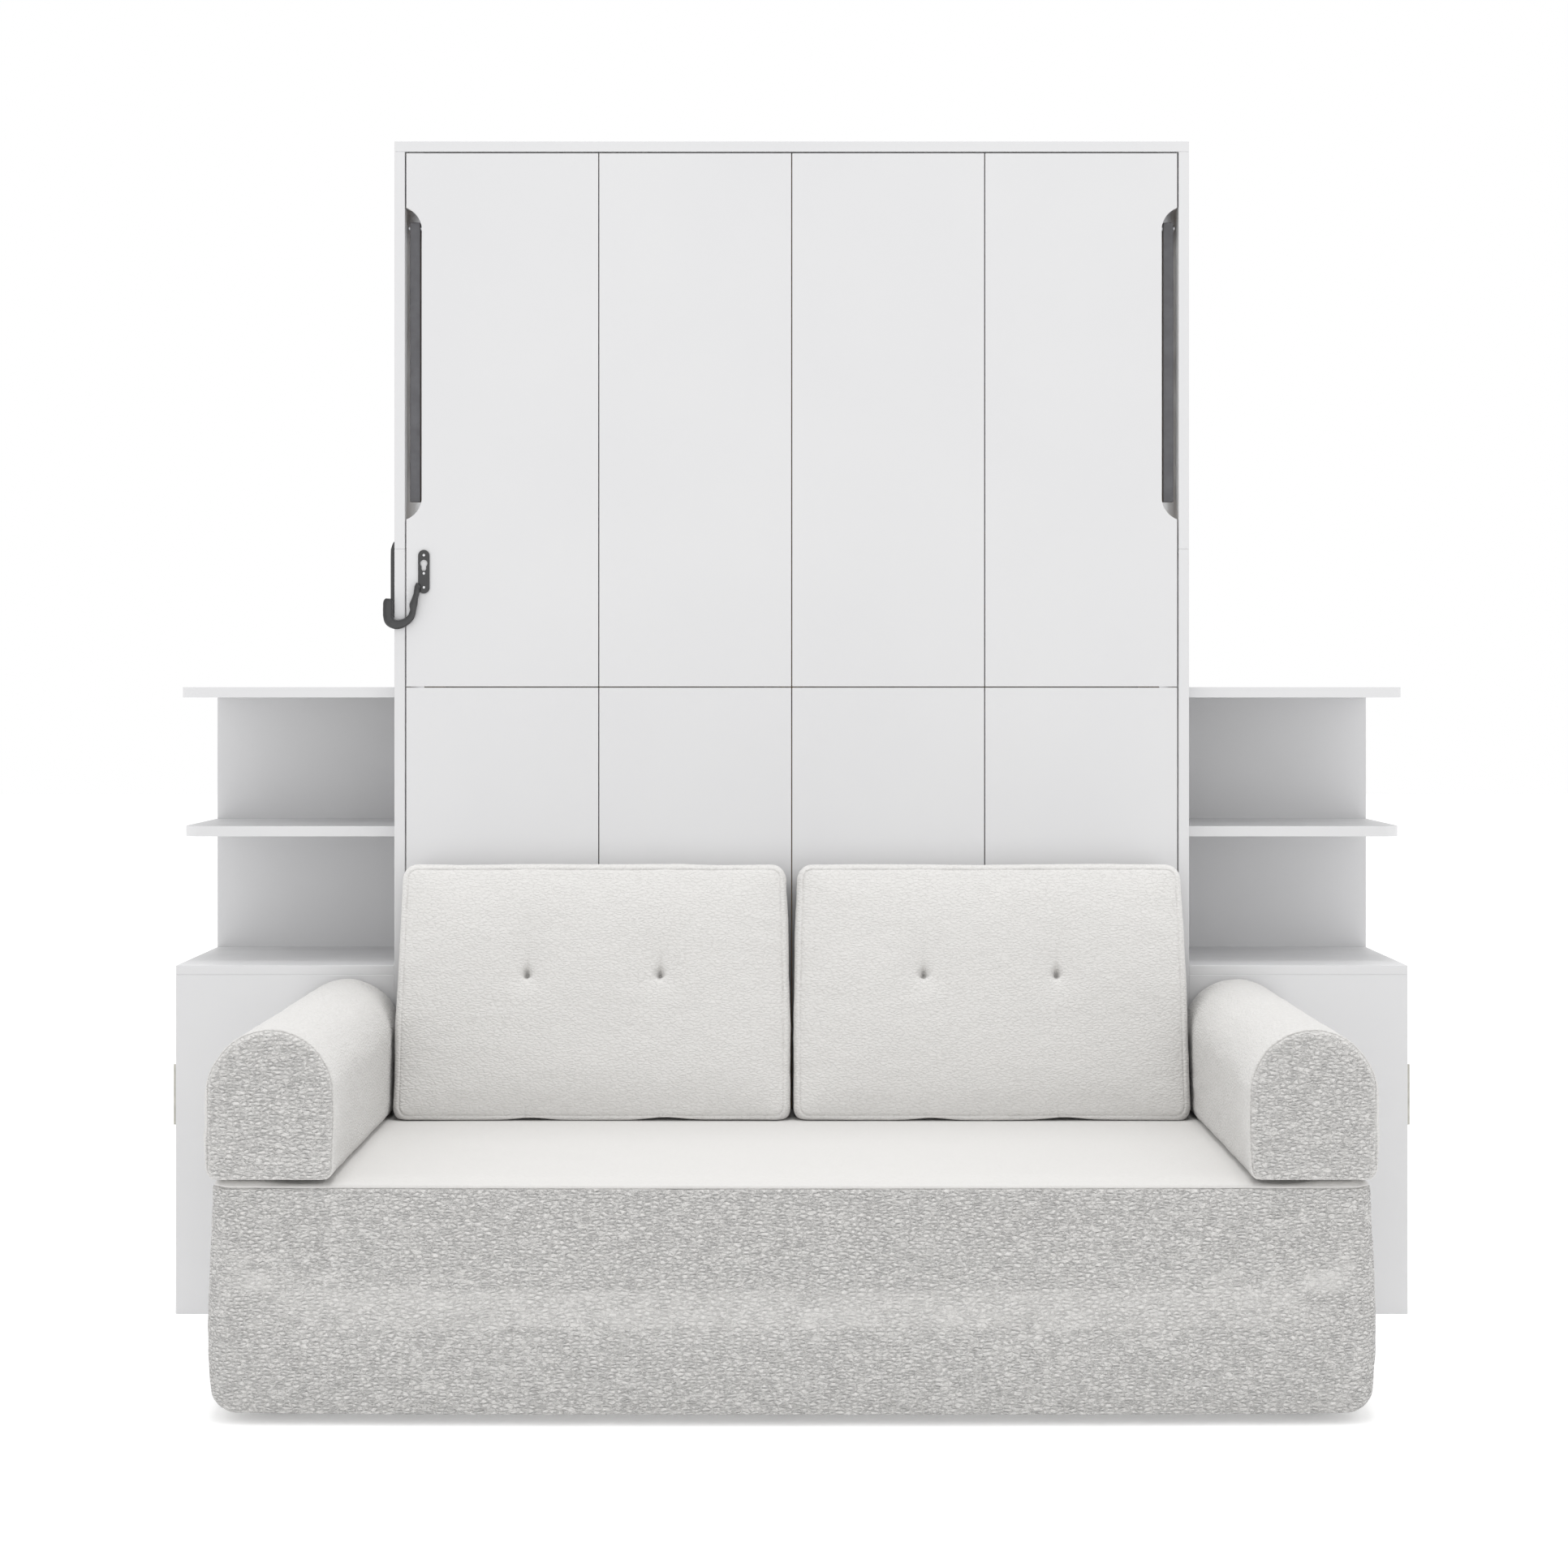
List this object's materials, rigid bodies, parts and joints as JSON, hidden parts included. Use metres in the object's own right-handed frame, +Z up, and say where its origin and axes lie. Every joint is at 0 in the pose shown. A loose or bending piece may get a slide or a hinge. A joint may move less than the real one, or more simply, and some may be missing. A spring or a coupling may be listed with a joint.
{
  "type": "murphy wall bed",
  "caption": "Wall bed whose tilting front folds down over a low sofa between shelf units, with drop-down legs, gas struts and tipping back cushions.",
  "frame": {"origin": "on the floor, at the middle of the whole object's width and depth", "axes": "+X to the viewer's right along the width, +Y towards the wall, +Z up; the front faces -Y"},
  "size_m": [2.39, 1.362, 2.258],
  "materials": {
    "board_white": "satin",
    "frame_pine": "matte",
    "slat_birch": "satin",
    "boucle": "matte",
    "mattress_ticking": "matte",
    "base_ply": "matte",
    "foot_plastic": "matte",
    "zinc_steel": "satin",
    "dark_steel": "satin",
    "leg_grey": "satin",
    "strut_black": "gloss",
    "rod_chrome": "polished",
    "latch_black": "satin",
    "pull_greige": "satin"
  },
  "bodies": {
    "cabinet": {"side_left_lower": "board_white", "side_left_upper": "board_white", "side_right_lower": "board_white", "side_right_upper": "board_white", "top_panel": "board_white", "top_back_rail": "board_white", "bottom_back_rail": "board_white", "kick_board": "board_white", "side_joint_plates": "zinc_steel", "pivot_bearings": "dark_steel", "strut_studs": "zinc_steel", "latch_keeper": "latch_black", "base_top_left": "board_white", "base_top_right": "board_white", "base_front_left": "board_white", "base_front_right": "board_white", "back_panel_left": "board_white", "back_panel_right": "board_white", "base_inner_sides": "board_white", "base_bottoms": "board_white", "shelf_middle_left": "board_white", "shelf_middle_right": "board_white", "shelf_top_left": "board_white", "shelf_top_right": "board_white", "door_frame_hinges": "zinc_steel", "sofa_seat": "boucle", "sofa_base_board": "base_ply", "sofa_feet": "foot_plastic", "armrest_left": "boucle", "armrest_right": "boucle"},
    "bed": {"front_upper_left": "board_white", "front_upper_middle": "board_white", "front_upper_right": "board_white", "front_lower": "board_white", "bed_rail_left": "frame_pine", "bed_rail_right": "frame_pine", "bed_rail_head": "frame_pine", "bed_rail_foot": "frame_pine", "slat_ledgers": "frame_pine", "slats": "slat_birch", "mattress": "mattress_ticking", "pivot_arm_left": "dark_steel", "pivot_arm_right": "dark_steel", "leg_pins": "zinc_steel", "latch_plate": "latch_black"},
    "cushion_left": {"cushion_left": "boucle"},
    "cushion_right": {"cushion_right": "boucle"},
    "leg_left": {"leg_left": "leg_grey"},
    "leg_right": {"leg_right": "leg_grey"},
    "strut_cylinder_left": {"strut_cylinder_left": "strut_black"},
    "strut_cylinder_right": {"strut_cylinder_right": "strut_black"},
    "strut_rod_left": {"strut_rod_left": "rod_chrome"},
    "strut_rod_right": {"strut_rod_right": "rod_chrome"},
    "latch_hook": {"latch_hook": "latch_black"},
    "door_left": {"door_left": "board_white", "door_pull_left": "pull_greige", "door_hinges_left": "zinc_steel"},
    "door_right": {"door_right": "board_white", "door_pull_right": "pull_greige", "door_hinges_right": "zinc_steel"}
  },
  "joints": [
    {"name": "bed_fold", "type": "hinge", "parent": "cabinet", "child": "bed", "pos_m": [0, 0.291, 0.555], "axis": [1, 0, 0], "range_deg": [0, 90]},
    {"name": "cushion_left_tip", "type": "hinge", "parent": "cabinet", "child": "cushion_left", "pos_m": [-0.373, 0.036, 0.3953], "axis": [1, 0, 0], "range_deg": [0, 101.8]},
    {"name": "cushion_right_tip", "type": "hinge", "parent": "cabinet", "child": "cushion_right", "pos_m": [0.373, 0.036, 0.3953], "axis": [1, 0, 0], "range_deg": [0, 101.8]},
    {"name": "leg_left_swing", "type": "hinge", "parent": "bed", "child": "leg_left", "pos_m": [-0.728, 0.266, 2.095], "axis": [1, 0, 0], "range_deg": [-90.1, 0]},
    {"name": "leg_right_swing", "type": "hinge", "parent": "bed", "child": "leg_right", "pos_m": [0.728, 0.266, 2.095], "axis": [1, 0, 0], "range_deg": [-90.1, 0]},
    {"name": "strut_left_swing", "type": "hinge", "parent": "cabinet", "child": "strut_cylinder_left", "pos_m": [-0.728, 0.431, 0.795], "axis": [1, 0, 0], "range_deg": [0, 8.9]},
    {"name": "strut_right_swing", "type": "hinge", "parent": "cabinet", "child": "strut_cylinder_right", "pos_m": [0.728, 0.431, 0.795], "axis": [1, 0, 0], "range_deg": [0, 8.9]},
    {"name": "strut_left_stroke", "type": "slide", "parent": "strut_cylinder_left", "child": "strut_rod_left", "axis": [0, -0.4061, -0.9138], "range_m": [-0.097, 0]},
    {"name": "strut_right_stroke", "type": "slide", "parent": "strut_cylinder_right", "child": "strut_rod_right", "axis": [0, -0.4061, -0.9138], "range_m": [-0.097, 0]},
    {"name": "latch_swing", "type": "hinge", "parent": "bed", "child": "latch_hook", "pos_m": [-0.716, 0.228, 1.4], "axis": [0, -1, 0], "range_deg": [0, 150.1]},
    {"name": "door_left_swing", "type": "hinge", "parent": "cabinet", "child": "door_left", "pos_m": [-1.1904, 0.666, 0.326], "axis": [0, 0, -1], "range_deg": [0, 90]},
    {"name": "door_right_swing", "type": "hinge", "parent": "cabinet", "child": "door_right", "pos_m": [1.1904, 0.666, 0.326], "axis": [0, 0, 1], "range_deg": [0, 90]}
  ],
  "couplings": [
    {"joint": "cushion_left_tip", "follows": "bed_fold", "ratio": 1.13},
    {"joint": "cushion_right_tip", "follows": "bed_fold", "ratio": 1.13},
    {"joint": "leg_left_swing", "follows": "bed_fold", "ratio": -1},
    {"joint": "leg_right_swing", "follows": "bed_fold", "ratio": -1},
    {"joint": "strut_left_swing", "follows": "bed_fold", "ratio": 0.097871},
    {"joint": "strut_right_swing", "follows": "bed_fold", "ratio": 0.097871},
    {"joint": "strut_left_stroke", "follows": "bed_fold", "m_per_rad": -0.061156},
    {"joint": "strut_right_stroke", "follows": "bed_fold", "m_per_rad": -0.061156},
    {"joint": "latch_swing", "follows": "bed_fold", "ratio": 1.6667}
  ]
}
